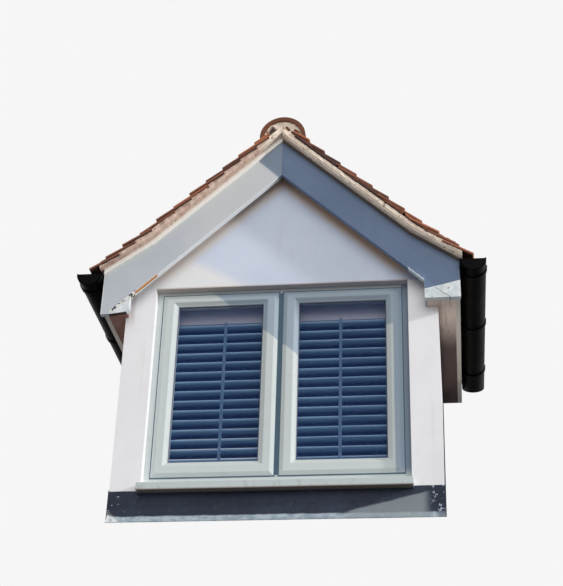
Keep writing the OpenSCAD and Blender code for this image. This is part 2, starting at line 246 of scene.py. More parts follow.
# Painted shade: the gable is painted a cooler, greyer white than the posts.
wall_paint("gable_paint_in_painted_shade", shade(218, 227, 244), shade(210, 219, 238), 0.9).wear("gable_wall")

# Window frame.
# Moulded frame in a pale grey green, screwed to the posts and set back in the opening; dark rubber
# seals lie in the joints round both sashes and down the middle, their dark blue grey painted shade for
# those joints and for the groove between the sashes.


def copy_of(name):
    """A solid in millimetres from the wall face and the foot of the posts, its faces whole."""
    bm = bmesh.new()
    bm.from_mesh(nodes[name].data)
    bmesh.ops.remove_doubles(bm, verts=bm.verts, dist=0.00001)
    bmesh.ops.dissolve_limit(bm, angle_limit=math.radians(1), verts=bm.verts, edges=bm.edges)
    bmesh.ops.transform(bm, matrix=to_place.inverted(), verts=bm.verts)
    return bm


def soften(bm, width, segments=2, least=25):
    """Rounds all edges that turn by more than the least angle, in degrees."""
    sharp = [e for e in bm.edges if e.is_manifold and e.calc_face_angle() > math.radians(least)]
    bmesh.ops.bevel(bm, geom=sharp, offset=width, offset_type="OFFSET", segments=segments, profile=0.5,
                    affect="EDGES", clamp_overlap=True, material=-1)


def finished(name, bm, stands_for, *finishes):
    """The shape as an object in place, in metres, riding on the dormer for the solids it stands for."""
    bmesh.ops.transform(bm, matrix=to_place, verts=bm.verts)
    mesh = bpy.data.meshes.new(name)
    bm.to_mesh(mesh)
    bm.free()
    for finish in finishes:
        mesh.materials.append(finish.material)
    made = bpy.data.objects.new(name, mesh)
    bpy.context.scene.collection.objects.link(made)
    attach(made, "root")
    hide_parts(*stands_for)


def faces_of(verts):
    """The faces round some points, each of them once."""
    return list(dict.fromkeys(f for v in verts for f in v.link_faces))


def face_out(bm, side):
    """Makes the left-hand twin where side is negative, and turns all faces outwards."""
    if side < 0:
        bmesh.ops.scale(bm, vec=(-1, 1, 1), verts=bm.verts)
    bmesh.ops.recalc_face_normals(bm, faces=bm.faces)


def ring_of(bm, section, x0, x1, z0, z1):
    """A section of points (in from the outer edge, depth), mitred round a rectangle; it is spun as a
    large square and then drawn in to its size."""
    before = set(bm.verts)
    reach = 1000
    corner = [bm.verts.new((reach - inset, depth, reach - inset)) for inset, depth in section]
    edges = [bm.edges.new((corner[i - 1], corner[i])) for i in range(len(corner))]
    bmesh.ops.spin(bm, geom=corner + edges, cent=(0, 0, 0), axis=(0, 1, 0), dvec=(0, 0, 0),
                   angle=math.tau, steps=4, use_merge=True)
    ring = [v for v in bm.verts if v not in before]
    for axis, low, high in ((0, x0, x1), (2, z0, z1)):
        to_high = [v for v in ring if v.co[axis] > 0]
        to_low = [v for v in ring if v.co[axis] < 0]
        step = Vector((0, 0, 0))
        step[axis] = high - reach
        bmesh.ops.translate(bm, verts=to_high, vec=step)
        step[axis] = low + reach
        bmesh.ops.translate(bm, verts=to_low, vec=step)
    return ring


def block(bm, low, high, width=1.0, segments=2):
    """A block between two corners with rounded edges."""
    low, high = Vector(low), Vector(high)
    made = bmesh.ops.create_cube(bm, size=1)["verts"]
    bmesh.ops.scale(bm, vec=high - low, verts=made)
    bmesh.ops.translate(bm, vec=(low + high) / 2, verts=made)
    edges = list(dict.fromkeys(e for f in faces_of(made) for e in f.edges))
    bmesh.ops.bevel(bm, geom=edges, offset=width, offset_type="OFFSET", segments=segments,
                    profile=0.5, affect="EDGES", clamp_overlap=True, material=-1)


def window_paint_of(name, painted_shade_x, corner, painted_shade_tone):
    """Grey green paint with painted shade in the upper right corner, as cast by the right bargeboard, and
    right of a given place, as cast by the post; corner sets the first.
    """
    paint = Finish(name)
    brush = paint.cloud(90, 4, (1, 1, 0.12))
    blotch = paint.cloud(5, 5)
    dust = paint.ramp(paint.cloud(30, 6), 0.55, 0.8)
    tone = paint.mix(blotch, shade(200, 209, 209), shade(211, 217, 216))
    tone = paint.mix(dust * 0.3, tone, shade(182, 180, 168))
    right, height = paint.axis("X") + (blotch - 0.5) * 6, paint.axis("Z")
    # Painted light: low on the right stile an inner strip is left out of the painted shade, as lit.
    inner_strip = paint.ramp(right, 460, 466) * (1 - paint.ramp(height, 775, 785))
    darkening = paint.ramp(height * 1.2 + right, 846, 862) * (1 - inner_strip) * corner
    darkening = paint.sum("MAXIMUM", darkening, paint.ramp(right, painted_shade_x, painted_shade_x + 7) * paint.ramp(height, 60, 120))
    tone = paint.mix(darkening * 0.8, tone, painted_shade_tone)
    paint.cover(tone, 0.34 + blotch * 0.22, 0.35)
    paint.relief(brush * 0.5 + dust * 0.3, 0.0004)
    return paint


def rubber(name, pale, dark):
    seal = Finish(name)
    dust = seal.cloud(60, 5)
    seal.cover(seal.mix(dust, dark, pale), 0.6 + dust * 0.2, 0.2)
    seal.relief(dust, 0.0003)
    return seal


sash_outer = (11, 531, 90, 961)
middle_seal = (8, 37, 40.5)
seal_section = [(-4, 40), (-4, 37.5), (-1, 36.5), (3, 38), (3, 40)]
# Painted shade: on the sashes in the upper right and right of 490, on the frame along its right member.
sash_paint = window_paint_of("grey_green_sash_paint", 490, 0.85, shade(128, 150, 172))
frame_paint = window_paint_of("grey_green_frame_paint", 528, 0.3, shade(80, 102, 132))
seal_with_painted_shade = rubber("seal_dark_as_painted_shade", shade(100, 122, 138), shade(74, 96, 112))
bm = copy_of("window_frame")
soften(bm, 2.5)
painted = set(bm.faces)
for side in (-1, 1):
    ring = ring_of(bm, seal_section, *sash_outer)
    if side < 0:
        bmesh.ops.scale(bm, vec=(-1, 1, 1), verts=ring)
        bmesh.ops.reverse_faces(bm, faces=faces_of(ring))
# Painted shade: a dark strip down the middle of the frame, where the groove between the sashes lies in
# shade.
half, front, back = middle_seal
block(bm, (-half, front, sash_outer[2] + 4), (half, back, sash_outer[3] - 4))
for face in bm.faces:
    face.material_index = 0 if face in painted else 1
finished("window_outer_frame", bm, ["window_frame"], frame_paint, seal_with_painted_shade)

# Sashes.
# Each sash is a mitred ring of moulded section, sloped on its outer edge and again round the glass,
# finished as the frame and fitted with a grey glazing gasket; both are drawn shut on the frame.

sash_section = [
    (0, 40), (0.5, 36), (15, 29), (18, 28), (47, 28), (50, 29), (63, 37.5), (67, 39), (68, 41),
    (68, 73), (15, 73), (15, 40),
]
gasket_section = [(66, 43), (68, 42), (71, 44), (72, 46), (71.5, 48), (66, 48)]
narrow_top, mid_z = 13, 700
gasket = rubber("grey_glazing_gasket", shade(112, 116, 132), shade(80, 84, 98))
for side, name in ((-1, "left_sash"), (1, "right_sash")):
    bm = bmesh.new()
    for material, section in enumerate((sash_section, gasket_section)):
        known = set(bm.faces)
        ring = ring_of(bm, section, *sash_outer)
        inner_top = [v for v in ring if mid_z < v.co.z < sash_outer[3] - 40]
        bmesh.ops.translate(bm, verts=inner_top, vec=(0, 0, narrow_top))
        for face in bm.faces:
            if face not in known:
                face.material_index = material
    face_out(bm, side)
    finished(name + "_moulded", bm, [name], sash_paint, gasket)

# Glass.
# Sealed double glazing with a slight blue tint, deepened to navy as a painted reflection of blue sky,
# and a little dust gives a clear view of the shutters; the panes sit in the rebates of the sashes.


def pane_glass():
    glass = Finish("glass_with_painted_sky_reflection")
    dust = glass.ramp(glass.cloud(7, 6), 0.45, 0.85)
    # Painted reflection: the navy colour and the blue tint of the gloss stand for blue sky in the panes.
    glass.cover(glass.mix(dust, shade(30, 66, 124), shade(46, 82, 136)), 0.05 + dust * 0.06, 0.12)
    glass.feed(glass.shader, {"Alpha": 0.16 + dust * 0.05, "Specular Tint": shade(150, 190, 255)})
    return glass


pane_glass().wear("left_glass", "right_glass")

# Sill and window board.
# The sill is one softwood section with a sloped top, a rounded nose and a drip underneath, its pale
# paint greyed by rain; inside, a planed board with a rounded nose closes the foot of the opening.


def sill_paint():
    paint = Finish("weathered_sill_paint_with_painted_shade")
    runs = paint.cloud(60, 5, (1, 0.3, 0.3))
    blotch = paint.cloud(9, 6)
    worn = paint.ramp(blotch * 0.6 + runs * 0.4, 0.5, 0.72)
    # Painted shade: the underside of the sill is painted dark brown.
    below = 1 - paint.ramp(paint.axis("Z"), 5, 13)
    tone = paint.mix(worn, shade(196, 206, 207), shade(176, 182, 178))
    tone = paint.mix(below * 0.85, tone, shade(112, 92, 80))
    paint.cover(tone, 0.5 + worn * 0.25)
    paint.relief(runs * 0.5 - worn * 0.5, 0.0008)
    return paint


bm = copy_of("window_sill")
soften(bm, 4, 3, 40)
finished("window_sill_moulded", bm, ["window_sill"], sill_paint())


def joinery_paint(name, pale, dark):
    paint = Finish(name)
    brush = paint.cloud(120, 4, (0.1, 1, 1))
    blotch = paint.cloud(8, 4)
    paint.cover(paint.mix(blotch, pale, dark), 0.35 + blotch * 0.2)
    paint.relief(brush, 0.0003)
    return paint


bm = copy_of("window_board")
soften(bm, 5, 3, 40)
finished("window_board_planed", bm, ["window_board"], joinery_paint(
    "white_joinery_paint", shade(230, 229, 224), shade(214, 212, 206)))

# Shutters.
# Two framed panels of painted wood stand in the opening, each with sixteen rounded louvres on pins
# and a rod that tilts them together; the louvres are painted pale blue as sky light, and their lower
# faces dark navy as shade, deepest towards the back.

shutter_paint = joinery_paint("pale_blue_shutter_paint", shade(236, 232, 240), shade(222, 218, 230))
for name in ("left_shutter", "right_shutter"):
    bm = copy_of(name)
    soften(bm, 2.5)
    finished(name + "_panel", bm, [name], shutter_paint)

slat_y, nose_depth = 138, 24
rod_x, rod_back, rod_slim = 258, slat_y - 31, 0.4


def louvre_paint():
    paint = Finish("louvre_paint_with_painted_sky_light_and_shade")
    # Painted shade: lower faces behind the nose are painted dark navy, darker towards the back; the pale
    # blue of the paint is painted sky light.
    under = paint.marked("under")
    inwards = paint.ramp(paint.axis("Y"), slat_y - 26, slat_y + 8)
    brush = paint.cloud(120, 4, (0.1, 1, 1))
    blotch = paint.cloud(8, 4)
    tone = paint.mix(blotch, shade(186, 224, 252), shade(170, 210, 244))
    tone = paint.mix(under * (inwards * 0.7 + 0.3), tone, shade(14, 30, 60))
    rod = 1 - paint.ramp(paint.axis("Y"), rod_back - 2, rod_back)
    tone = paint.mix(rod * 0.65, tone, shade(60, 90, 140))
    paint.cover(tone, 0.35 + blotch * 0.2)
    paint.relief(brush, 0.0003)
    return paint


louvre_finish = louvre_paint()
slat_n, slat_low, slat_high = 16, 120, 859
slat_step = (slat_high - slat_low) / slat_n
for name, steeper in (("left_louvres", 7), ("right_louvres", 3)):
    tilt = Matrix.Rotation(math.radians(-steeper), 3, "X")
    bm = copy_of(name)
    for v in bm.verts:
        if v.co.y < rod_back:
            middle = math.copysign(rod_x, v.co.x)
            v.co.x = middle + (v.co.x - middle) * rod_slim
        else:
            number = min(slat_n - 1, max(0, int((v.co.z - slat_low) / slat_step)))
            pin = Vector((v.co.x, slat_y, slat_low + (number + 0.5) * slat_step))
            v.co = pin + tilt @ (v.co - pin)
    # Marks the lower faces behind the nose, which are painted dark as shade.
    layer = bm.faces.layers.float.new("under")
    for face in bm.faces:
        steep = face.normal.z < -0.75
        front = face.calc_center_median().y < slat_y - nose_depth
        face[layer] = 1.0 if steep and not front else 0.0
    soften(bm, 0.8, 1, 30)
    finished(name + "_slats", bm, [name], louvre_finish)

# Bargeboards.
# Softwood boards with a kick at the eaves, cut plumb at the apex and nailed to the outer rafters; the
# left one flakes along its lower edge, and the right one is splintered. The right board and its fillet
# are painted dark as shade, and so is the left board by the apex; the left board's lower edge has a
# painted highlight.

eaves_pitch = math.radians(35)
eaves_slope = math.tan(eaves_pitch)
bend_x = 590
bend_z = ridge_z - bend_x * slope
barge_d, barge_face = 157, -75
low_edge_z = ridge_z - barge_d / math.cos(pitch)


def kick_at(paint, out):
    """How far the eaves rise, at that place, over the line of the steeper slope above them."""
    return paint.sum("MAXIMUM", out - bend_x, 0) * (slope - eaves_slope)


class BargePaint(Finish):
    """Chalky paint; out is the place out from the apex, over the height over the lower edge, and up the
    same less the kick, so that it follows the upper edge."""

    def __init__(self, name, pale, dark):
        super().__init__(name)
        self.out = self.sum("ABSOLUTE", self.axis("X"))
        self.blotch = self.cloud(4, 5)
        self.craze = self.cloud(130, 6)
        self.over = self.axis("Z") + self.out * slope - low_edge_z + (self.craze - 0.5) * 14
        self.up = self.over - kick_at(self, self.out)
        self.tone = self.mix(self.ramp(self.blotch * 0.7 + self.craze * 0.3, 0.3, 0.7), pale, dark)

    def strip(self, start, end, high):
        """A ragged strip along the lower edge between two places."""
        length = self.ramp(self.out, start - 4, start + 4) * (1 - self.ramp(self.out, end - 4, end + 4))
        return length * (1 - self.ramp(self.over, high - 3, high + 2))

    def coat(self, share, colour):
        self.tone = self.mix(share, self.tone, colour)

    def done(self):
        self.cover(self.tone, 0.5 + self.blotch * 0.25, 0.3)
        self.relief(self.craze * 0.4 + self.blotch * 0.3, 0.0006)
        return self


def left_barge_paint():
    paint = BargePaint("chalky_grey_barge_paint", shade(197, 203, 209), shade(184, 190, 202))
    paint.coat(paint.ramp(paint.up, 120, 200) * 0.5, shade(196, 202, 198))
    paint.coat(paint.ramp(paint.up, 174, 206) * 0.6, shade(244, 240, 230))
    paint.coat((1 - paint.ramp(paint.out, 240, 600)) * 0.7, shade(212, 214, 212))
    # Painted shade: by the apex the board is painted the blue grey of the right board, where the right
    # verge casts its shadow.
    paint.coat(paint.ramp(paint.axis("Z") - paint.out, 1484, 1500) * 0.85, shade(116, 134, 158))
    # Painted shade: a dark line at the top of the board by the apex, under the fillet.
    apex_top = paint.ramp(paint.over, 194, 210) * (1 - paint.ramp(paint.out, 90, 130))
    paint.coat(apex_top * 0.8, shade(64, 64, 70))
    # Painted highlight: the lower edge of the board is painted white, as lit.
    paint.coat(paint.strip(20, 552, 5), shade(240, 242, 244))
    paint.coat(paint.strip(546, 646, 9), shade(232, 232, 230))
    front = 1 - paint.ramp(paint.axis("Y"), -66, -63)
    paint.coat(paint.strip(546, 646, 6) * front, shade(206, 134, 66))
    hole = paint.ramp(paint.cloud(70, 2, shift=(2, 7, 1)), 0.5, 0.56)
    chipped = paint.strip(640, 746, 15)
    paint.coat(chipped, paint.mix(hole, shade(240, 240, 232), shade(46, 42, 40)))
    paint.coat(paint.ramp(paint.out, 782, 785) * 0.8, shade(238, 242, 242))
    return paint.done()


def right_barge_paint():
    # Painted shade: the right board is painted a darker blue grey, as in the shadow of its verge, darker
    # still towards its upper edge.
    paint = BargePaint("shaded_grey_barge_paint", shade(116, 135, 165), shade(107, 125, 155))
    paint.coat(paint.ramp(paint.up, 90, 180) * 0.4, shade(104, 118, 142))
    paint.coat(paint.ramp(paint.up, 150, 206) * 0.9, shade(84, 90, 102))
    paint.coat(paint.strip(566, 634, 9), shade(208, 222, 232))
    return paint.done()


def fillet_paint(name, pale, dull):
    paint = Finish(name)
    flake = paint.ramp(paint.cloud(40, 5), 0.66, 0.7)
    blotch = paint.cloud(8, 4)
    tone = paint.mix(blotch, pale, dull)
    tone = paint.mix(flake * 0.5, tone, shade(186, 172, 156))
    paint.cover(tone, 0.5 + flake * 0.3)
    paint.relief(blotch * 0.3 - flake * 0.5, 0.0010)
    return paint


white_fillet = fillet_paint("white_fillet_paint", shade(252, 250, 244), shade(244, 240, 230))
# Painted shade: the right fillet is painted dark brown grey, as it lies in deep shade.
fillet_in_painted_shade = fillet_paint("fillet_paint_in_painted_shade", shade(118, 104, 96), shade(94, 82, 74))
for name, paint, fillet in (
    ("left_bargeboard", left_barge_paint(), white_fillet),
    ("right_bargeboard", right_barge_paint(), fillet_in_painted_shade),
):
    bm = copy_of(name)
    soften(bm, 2.0)
    for face in bm.faces:
        if face.calc_center_median().y < barge_face - 0.5:
            face.material_index = 1
    finished(name + "_planed", bm, [name], paint, fillet)

# Box ends.
# Short boards close the eaves below the bargeboards, their white paint chipped down to grey wood and
# their undersides brown wood painted dark as shade; rot has taken the inner corner and the side board
# of the left one.

board_back, rotten_x = -50, -660


def chipped_paint():
    paint = Finish("chipped_white_box_paint")
    wander = (paint.cloud(30, 3) - 0.5) * 18
    out = paint.axis("X") + wander
    split = 1 - paint.ramp(paint.sum("ABSOLUTE", paint.axis("Z") - 1438 + out * 0.8), 1.0, 3.0)
    crack = split * paint.ramp(out, 676, 684) * (1 - paint.ramp(out, 744, 750))
    vein = paint.sum("ABSOLUTE", paint.cloud(13, 4, shift=(4, 1, 2)) - 0.5)
    crack = paint.sum("MAXIMUM", crack, (1 - paint.ramp(vein, 0.0, 0.006)) * 0.5)
    chip = paint.ramp(paint.cloud(34, 5), 0.66, 0.69)
    blotch = paint.cloud(26, 5)
    tone = paint.mix(paint.ramp(blotch, 0.35, 0.65), shade(238, 241, 242), shade(208, 220, 224))
    # Painted shade: the side board behind the front board, which faces the light, is painted a greyer
    # white.
    behind = paint.ramp(paint.axis("Y"), board_back, board_back + 2)
    tone = paint.mix(behind * 0.8, tone, shade(178, 178, 184))
    tone = paint.mix(chip, tone, shade(140, 124, 110))
    tone = paint.mix(crack * 0.8, tone, shade(96, 84, 78))
    paint.cover(tone, 0.5 + chip * 0.3)
    paint.relief(1 - chip * 0.6 - crack * 0.5, 0.0014)
    return paint


# Painted shade: the undersides are brown wood, painted dark.
def underside_in_painted_shade():
    wood = Finish("brown_underside_in_painted_shade")
    grain = wood.cloud(60, 5, (0.15, 1, 1))
    wood.cover(wood.mix(grain, shade(96, 74, 62), shade(60, 46, 40)), 0.75 + grain * 0.2)
    wood.relief(grain, 0.0010)
    return wood


def only(sort, geom):
    """The points, edges or faces among what an operator made."""
    return [part for part in geom if isinstance(part, sort)]


def trim(bm, point, normal):
    """Cuts off all that lies behind a plane and closes the cuts."""
    whole = bm.verts[:] + bm.edges[:] + bm.faces[:]
    cut = bmesh.ops.bisect_plane(bm, geom=whole, dist=0.01, plane_co=point, plane_no=normal,
                                 clear_inner=True)
    bmesh.ops.holes_fill(bm, edges=only(bmesh.types.BMEdge, cut["geom_cut"]), sides=0)


box_paint, underside = chipped_paint(), underside_in_painted_shade()
for name in ("left_box_end", "right_box_end"):
    bm = copy_of(name)
    if name == "left_box_end":
        trim(bm, Vector((0, board_back, 0)), Vector((0, -1, 0)))
        trim(bm, Vector((rotten_x, 0, 0)), Vector((-1, 0, 0)))
    soften(bm, 1.2)
    for face in bm.faces:
        below = face.normal.z < -0.9 and face.calc_center_median().y < board_back
        face.material_index = 1 if below else 0
    finished(name + "_boards", bm, [name], box_paint, underside)

# Undercloaks.
# Strips of fibre cement board laid rough side up along the verges; they carry the mortar and the
# tiles out past the bargeboards.


def cement_board():
    board = Finish("fibre_cement_board")
    blotch = board.cloud(6, 5)
    fibre = board.cloud(180, 3, (0.2, 1, 1))
    tone = board.mix(board.ramp(blotch, 0.4, 0.7), shade(226, 218, 206), shade(190, 174, 156))
    board.cover(tone, 0.8 + fibre * 0.1)
    board.relief(fibre, 0.0006)
    return board


cement_board().wear("left_undercloak", "right_undercloak")

# Verge and ridge mortar.
# Cream mortar pressed by hand between the undercloaks and the tiles, lower down on the right; it is
# lumpy and stained pink by the clay, and slips of tile fill the mouth of the ridge. The right bed is
# painted paler and less pink as sunlit, and the holes and the pit in the ridge mouth are painted dark
# as shade.

# Sections of the verge beds, as y and the height square over the deck.
left_section = [
    (-86, -1.5), (-104, -3), (-115, -1), (-119, 7), (-116, 16), (-118, 23), (-113, 27), (-60, 24),
    (-60, 5),
]
right_section = [
    (-86, -15), (-98, -17), (-110, -12), (-118, -2), (-118, 8), (-117, 13), (-113, 16), (-60, 16),
    (-60, 5),
]
bed_start, bed_step, bed_n = 1, 8, 100
bed_shown, bed_face = -100, -124
ridge_c = ridge_z - 10
ridge_r, ridge_t = 108, 14
pit_x, pit_z, pit_r, pit_d = -50, ridge_c + 30, 26, 34
mouth_half, mouth_low, mouth_high = 96, 1640, 1824


def roof_point(x, high, y=0):
    """A point at x, that high square over the deck on the right-hand side."""
    if x < bend_x:
        return Vector((x, y, ridge_z - x * slope + high / math.cos(pitch)))
    return Vector((x, y, bend_z - (x - bend_x) * eaves_slope + high / math.cos(eaves_pitch)))


def cream_mortar():
    mortar = Finish("cream_mortar")
    grain = mortar.cloud(260, 4)
    lump = mortar.cloud(34, 5)
    stain = mortar.cloud(11, 5)
    hole = mortar.ramp(mortar.cloud(52, 5), 0.63, 0.69)
    out = mortar.sum("ABSOLUTE", mortar.axis("X"))
    high = (mortar.axis("Z") + out * slope - ridge_z - kick_at(mortar, out)) * math.cos(pitch)
    # Painted light: the right bed is painted paler and less pink, as sunlit.
    right = mortar.ramp(mortar.axis("X"), -110, -60)
    pale = mortar.mix(right, shade(222, 192, 174), shade(255, 236, 216))
    pink = mortar.ramp(stain * 0.6 + lump * 0.4, 0.44, 0.66) * (1 - right * 0.65)
    tone = mortar.mix(pink, pale, shade(184, 144, 128))
    tone = mortar.mix(mortar.ramp(grain, 0.45, 0.7) * 0.4, tone, shade(240, 226, 206))
    under_tiles = mortar.ramp(high + (lump - 0.5) * 30, 10, 28) * (1 - right)
    tone = mortar.mix(under_tiles * 0.6, tone, shade(150, 112, 90))
    # Painted shade: the pit in the ridge mouth and the small holes are painted dark.
    pit = mortar.sum("ABSOLUTE", mortar.axis("X") - pit_x)
    pit = pit + mortar.sum("ABSOLUTE", mortar.axis("Z") - pit_z) * 0.8
    hole = mortar.sum("MAXIMUM", hole, 1 - mortar.ramp(pit + (lump - 0.5) * 30, 20, 36))
    tone = mortar.mix(hole * 0.85, tone, shade(76, 60, 56))
    mortar.cover(tone, 0.85 + grain * 0.1)
    mortar.relief(lump * 0.5 + grain * 0.25 - hole * 0.5, 0.004)
    return mortar


mortar = cream_mortar()
for side, name, section in (
    (-1, "left_verge_mortar", left_section),
    (1, "right_verge_mortar", right_section),
):
    bm = bmesh.new()
    rim = [bm.verts.new((bed_start, y, high)) for y, high in section]
    bm.faces.new(rim)
    end = list(bm.faces)
    for step in range(bed_n):
        grown = bmesh.ops.extrude_face_region(bm, geom=end)["geom"]
        end = only(bmesh.types.BMFace, grown)
        bmesh.ops.translate(bm, verts=end[0].verts, vec=(bed_step, 0, 0))
    low_x, high_x = bed_start + 1, bed_start + bed_n * bed_step - 3
    inner = [f for f in bm.faces if abs(f.normal.x) > 0.9 and low_x < f.calc_center_median().x < high_x]
    bmesh.ops.delete(bm, geom=inner, context="FACES_ONLY")
    for v in bm.verts:
        x, y, high = v.co
        lump = noise.noise(Vector((x / 24 + 40 * side, y / 30, high / 20))) * 4
        lump += noise.noise(Vector((x / 9, y / 9 + 9 * side, high / 9))) * 1.6
        front = 1.0 if y < bed_shown else 0.0
        v.co = roof_point(x, high + lump * 0.35 * front, y + max(lump, -5) * front)
        v.co.y = max(v.co.y, bed_face)
    face_out(bm, side)
    finished(name + "_pressed", bm, [name], mortar)


def tint_faces(bm, faces, value):
    layer = bm.faces.layers.float["tint"]
    for face in faces:
        face[layer] = value


def clay(name, bright, brown, dark, lichen):
    """Weathered clay; each tile has its own tint, and the foot of its edges is marked and painted dark as
    the shade under each tile.
    """
    tile = Finish(name)
    tint, joint = tile.marked("tint"), tile.marked("joint")
    blotch = tile.cloud(10, 6)
    grain = tile.cloud(220, 3)
    moss = tile.ramp(tile.cloud(16, 6, shift=(5, 2, 1)), 0.56, 0.7)
    spots = tile.ramp(tile.cloud(70, 3), 0.66, 0.7)
    mixed = tint * 0.75 + blotch * 0.4
    tone = tile.mix(tile.ramp(mixed, 0.2, 0.6), bright, brown)
    tone = tile.mix(tile.ramp(mixed, 0.62, 0.9) * 0.85, tone, dark)
    tone = tile.mix(moss * 0.6, tone, shade(84, 64, 54))
    tone = tile.mix(spots * lichen, tone, shade(196, 184, 160))
    # Painted shade: dark at the foot of each tile's edges and under it.
    tone = tile.mix(tile.ramp(joint, 0.4, 0.9) * 0.85, tone, shade(44, 28, 26))
    tile.cover(tone, 0.78 + blotch * 0.15)
    tile.relief(grain * 0.35 + blotch * 0.4 + spots * 0.25, 0.0016)
    return tile


ridge_clay = clay("ridge_clay", shade(140, 86, 54), shade(104, 64, 46), shade(76, 50, 40), 0.2)
bm = copy_of("ridge_mortar")
for axis, low, high in ((0, -mouth_half, mouth_half), (2, mouth_low, mouth_high)):
    for place in range(low, high, bed_step):
        point, normal = Vector((0, 0, 0)), Vector((0, 0, 0))
        point[axis], normal[axis] = place, 1
        bmesh.ops.bisect_plane(bm, geom=bm.verts[:] + bm.edges[:] + bm.faces[:], dist=0.01,
                               plane_co=point, plane_no=normal)
mouth = min(v.co.y for v in bm.verts)
pit = Vector((pit_x, 0, pit_z))
for v in bm.verts:
    if v.co.y < mouth + 1:
        place = Vector((v.co.x, 0, v.co.z))
        from_rim = (place - Vector((0, 0, ridge_c))).length / (ridge_r - ridge_t)
        lump = noise.noise(place / 26) * 5 + noise.noise(place / 11) * 3
        deep = pit_d * max(0.0, 1 - (place - pit).length / pit_r)
        v.co.y += (lump + 3) * (1.0 if from_rim < 0.93 else 0.3) + deep
bm.faces.layers.float.new("tint")
mortar_faces = set(bm.faces)

# Slips of tile in the mouth: place from the middle, height over the deck, lean in degrees, length.
mouth_slips = [
    (-30, 34, 40, 34), (24, 40, -50, 26), (58, 40, -42, 44), (66, 56, -40, 30), (-6, 30, 8, 20),
]
slip_half, slip_tint = 4.5, 0.8
for x, high, lean, length in mouth_slips:
    before = set(bm.verts)
    block(bm, (-length / 2, -6, -slip_half), (length / 2, 20, slip_half), 1.5, 1)
    slip = [v for v in bm.verts if v not in before]
    leant = Matrix.Rotation(math.radians(-lean), 3, "Y")
    bmesh.ops.rotate(bm, verts=slip, cent=(0, 0, 0), matrix=leant)
    centre = roof_point(abs(x), high, mouth)
    bmesh.ops.translate(bm, verts=slip, vec=(x, centre.y, centre.z))
for face in bm.faces:
    face.material_index = 0 if face in mortar_faces else 1
tint_faces(bm, bm.faces, slip_tint)
finished("ridge_mortar_mouth", bm, ["ridge_mortar"], mortar, ridge_clay)

# Tiles.
# Plain clay tiles 165 mm wide, cambered, laid to a half bond in eleven courses and cut along the
# valleys, weathered and with lichen; slips of broken tile lie in the mortar of the right verge.

course_n, eaves_course = 11, 8
first_x, last_x = 60, 852
tile_w, tile_gap, tile_t = 165, 2.5, 11
tile_length, eaves_length = 190, 150
tail_high, head_high = (48, 24), (38, 10)
slip_t, slip_back = 12, 50
verge_y = -125
seat_normal = Vector((0, -math.sin(pitch), math.cos(pitch)))
seat_point = Vector((0, 50, -70)) + 27 * seat_normal


def course_point(number, high, end_high):
    """The top of a course's tail, which comes down to the end height at the eaves."""
    x = first_x + number * (last_x - first_x) / course_n
    share = max(0.0, (x - bend_x) / (last_x - bend_x))
    return roof_point(x, high * (1 - share) + end_high * share)


def plate(bm, columns, rows):
    """A flat plate one unit long, wide and thick; gives its points, and the ones underneath."""
    before = len(bm.verts)
    bmesh.ops.create_grid(bm, x_segments=columns, y_segments=rows, size=0.5)
    bm.verts.ensure_lookup_table()
    drop = bmesh.ops.extrude_face_region(bm, geom=faces_of(bm.verts[before:]))
    lower = only(bmesh.types.BMVert, drop["geom"])
    bmesh.ops.translate(bm, verts=lower, vec=(0, 0, -1))
    bm.verts.ensure_lookup_table()
    return bm.verts[before:], lower


def mark_tile_foot_shade(bm, lower):
    layer = bm.verts.layers.float["joint"]
    for v in lower:
        v[layer] = 1


def lay_tile(bm, chance, tail, head, y0, width, length):
    """One cambered tile, whose tail lies at y0 to y0 + width; it runs up towards the head."""
    along = (head - tail).normalized()
    up = Vector((-along.z, 0, along.x))
    if up.z < 0:
        up = -up
    shell, lower = plate(bm, 4, 2)
    lift = chance.uniform(-1.6, 0.4)
    twist = chance.uniform(-1.8, 1.8)
    short = chance.uniform(-4, 0)
    for v in shell:
        s, t, n = v.co.x + 0.5, v.co.y + 0.5, v.co.z
        camber = 1.8 * (1 - (2 * s - 1) ** 2) - 1.2
        rise = n * tile_t + camber + lift + twist * (s - 0.5) * (1 - t)
        v.co = tail + along * (t * length - short) + up * min(rise, 0.0)
        v.co.y = y0 + s * width
    tint_faces(bm, faces_of(shell), chance.random())
    mark_tile_foot_shade(bm, lower)


def bed_slip(bm, chance, x, length):
    """A slip of broken tile bedded on the mortar under the tiles of the right verge."""
    shell, lower = plate(bm, 2, 1)
    high, tilt = chance.uniform(25, 29), chance.uniform(-4, 4)
    front = chance.uniform(-123, -119)
    for v in shell:
        s, t, n = v.co.x, v.co.y + 0.5, v.co.z
        v.co = roof_point(x + s * length, high + tilt * s + n * slip_t, front + t * slip_back)
    tint_faces(bm, faces_of(shell), chance.random())
    mark_tile_foot_shade(bm, lower)


roof_clay = clay("weathered_roof_clay", shade(190, 116, 82), shade(136, 86, 68), shade(78, 50, 46), 0.4)
roof_length, last_slip = 2300, last_x - 90
for side, name in ((-1, "left_tiles"), (1, "right_tiles")):
    bm = bmesh.new()
    bm.faces.layers.float.new("tint")
    bm.verts.layers.float.new("joint")
    chance = random.Random(7 + side)
    for number in range(1, course_n + 1):
        tail = course_point(number, *tail_high)
        head = course_point(number - 1, *head_high)
        length = eaves_length if number > eaves_course else tile_length
        y = verge_y + chance.uniform(0, 5)
        width = tile_w if number % 2 else tile_w * 1.5
        while y < roof_length - tail.x:
            lay_tile(bm, chance, tail, head, y, width, length)
            y += width + tile_gap
            width = tile_w
    x = first_x
    while side > 0 and x < last_slip:
        length = chance.uniform(50, 120)
        bed_slip(bm, chance, x + length / 2, length)
        x += length + chance.uniform(4, 16)
    trim(bm, seat_point, seat_normal)
    trim(bm, Vector((first_x, 0, 0)), Vector((1, 0, 0)))
    face_out(bm, side)
    finished(name + "_laid", bm, [name], roof_clay)

